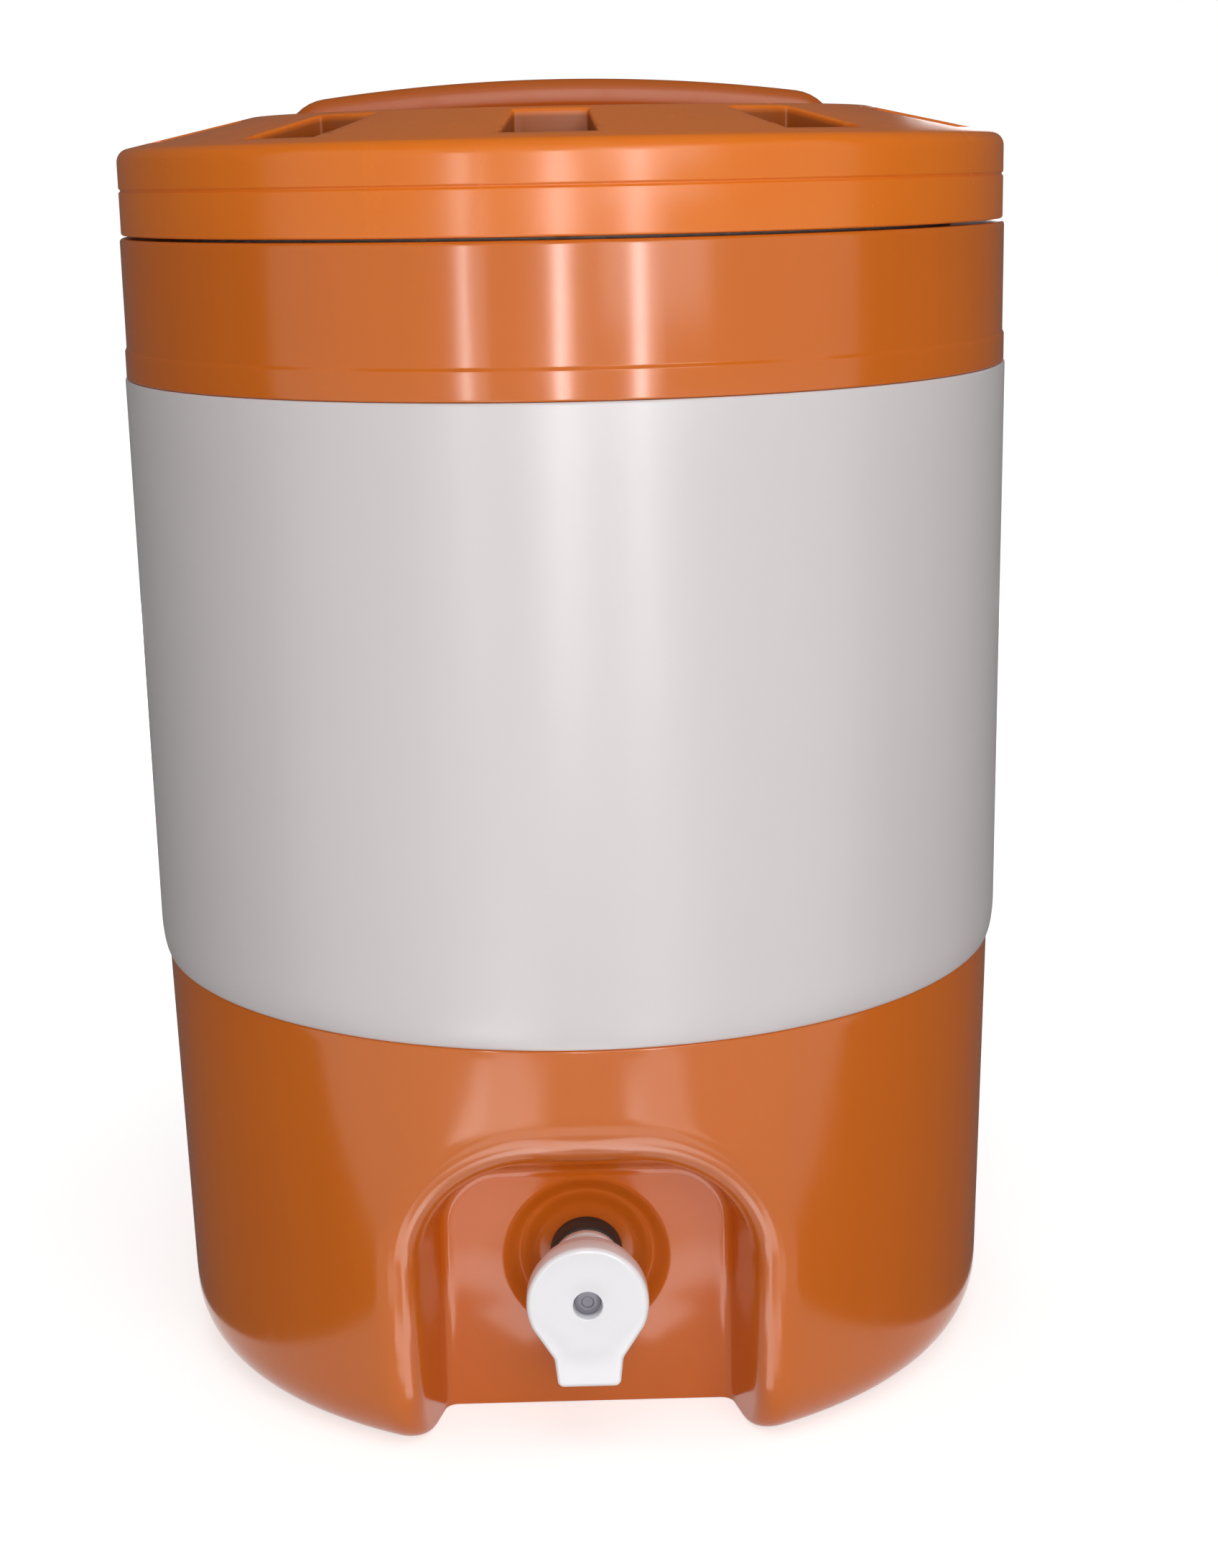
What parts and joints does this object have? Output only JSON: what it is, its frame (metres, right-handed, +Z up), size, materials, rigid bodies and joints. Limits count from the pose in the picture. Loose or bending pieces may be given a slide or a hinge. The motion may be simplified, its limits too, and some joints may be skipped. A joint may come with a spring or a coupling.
{
  "type": "beverage dispenser",
  "caption": "Insulated round drinks jug with a lift-off lid, a bridge handle in a finger well, and a quarter-turn lever tap in an arched niche at its foot.",
  "frame": {"origin": "centre of the foot ring, on the surface that the jug stands on", "axes": "+Z up along the jug's axis, -Y towards the front, where the tap is, +X to the right seen from the front"},
  "size_m": [0.3334, 0.3332, 0.486],
  "materials": {
    "orange_shell": "gloss",
    "white_band": "satin",
    "tank_plastic": "satin",
    "foam": "matte",
    "tap_white": "gloss",
    "rubber": "matte",
    "steel": "satin",
    "screw_grey": "satin"
  },
  "bodies": {
    "jug": {"base_shell": "orange_shell", "base_plate": "orange_shell", "base_screws": "steel", "body_band": "white_band", "collar": "orange_shell", "inner_tank": "tank_plastic", "wall_insulation": "foam", "tap_body": "tap_white", "tap_grommet": "rubber", "tap_sleeve": "tap_white", "tap_back_washer": "rubber", "tap_nut": "tap_white", "tap_retaining_ring": "tap_white"},
    "lid": {"lid_shell": "orange_shell", "lid_handle": "orange_shell", "handle_screws": "steel", "lid_insulation": "foam", "lid_liner": "tank_plastic", "lid_screws": "steel", "lid_seal": "rubber"},
    "tap_valve": {"tap_lever": "tap_white", "lever_screw": "screw_grey", "tap_plug": "tap_white", "plug_seals": "rubber"}
  },
  "joints": [
    {"name": "lid_lift", "type": "slide", "parent": "jug", "child": "lid", "axis": [0, 0, 1], "range_m": [0, 0.15]},
    {"name": "tap_turn", "type": "hinge", "parent": "jug", "child": "tap_valve", "pos_m": [0, -0.1215, 0.059], "axis": [0, -1, 0], "range_deg": [0, 90]}
  ]
}
